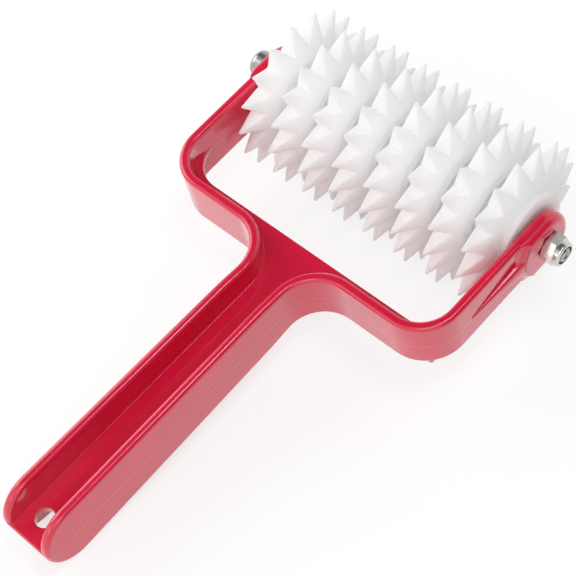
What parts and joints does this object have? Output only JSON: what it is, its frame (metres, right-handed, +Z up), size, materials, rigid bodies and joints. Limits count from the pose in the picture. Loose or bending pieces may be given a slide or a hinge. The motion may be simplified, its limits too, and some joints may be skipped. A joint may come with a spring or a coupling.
{
  "type": "dough docker",
  "caption": "Spiked roller on an axle bolt in a moulded plastic fork with a channel-section handle, for pricking rolled-out dough.",
  "frame": {"origin": "on the table, under the middle of the whole tool as it lies on two rows of spikes and the tail of its handle", "axes": "+Y from the handle's tail towards the roller, +Z up, X along the axle with the nut at +X"},
  "size_m": [0.1432, 0.2182, 0.0629],
  "materials": {
    "red_plastic": "glossy injection-moulded plastic, crimson",
    "white_plastic": "slightly translucent moulded plastic, white",
    "bolt_steel": "dull zinc-plated steel",
    "nut_steel": "bright zinc-plated steel",
    "nylon": "dark nylon"
  },
  "bodies": {
    "frame": {"handle_yoke": "red_plastic", "axle_bolt": "bolt_steel", "lock_nut": "nut_steel", "lock_nut_insert": "nylon"},
    "roller": {"spike_disc_1": "white_plastic", "spike_disc_2": "white_plastic", "spike_disc_3": "white_plastic", "spike_disc_4": "white_plastic", "spike_disc_5": "white_plastic", "spike_disc_6": "white_plastic", "spike_disc_7": "white_plastic", "spike_disc_8": "white_plastic"}
  },
  "joints": [
    {"name": "roller_spin", "type": "hinge", "parent": "frame", "child": "roller", "pos_m": [0.0002, 0.07749, 0.03122], "axis": [1, 0, 0], "continuous": true}
  ]
}
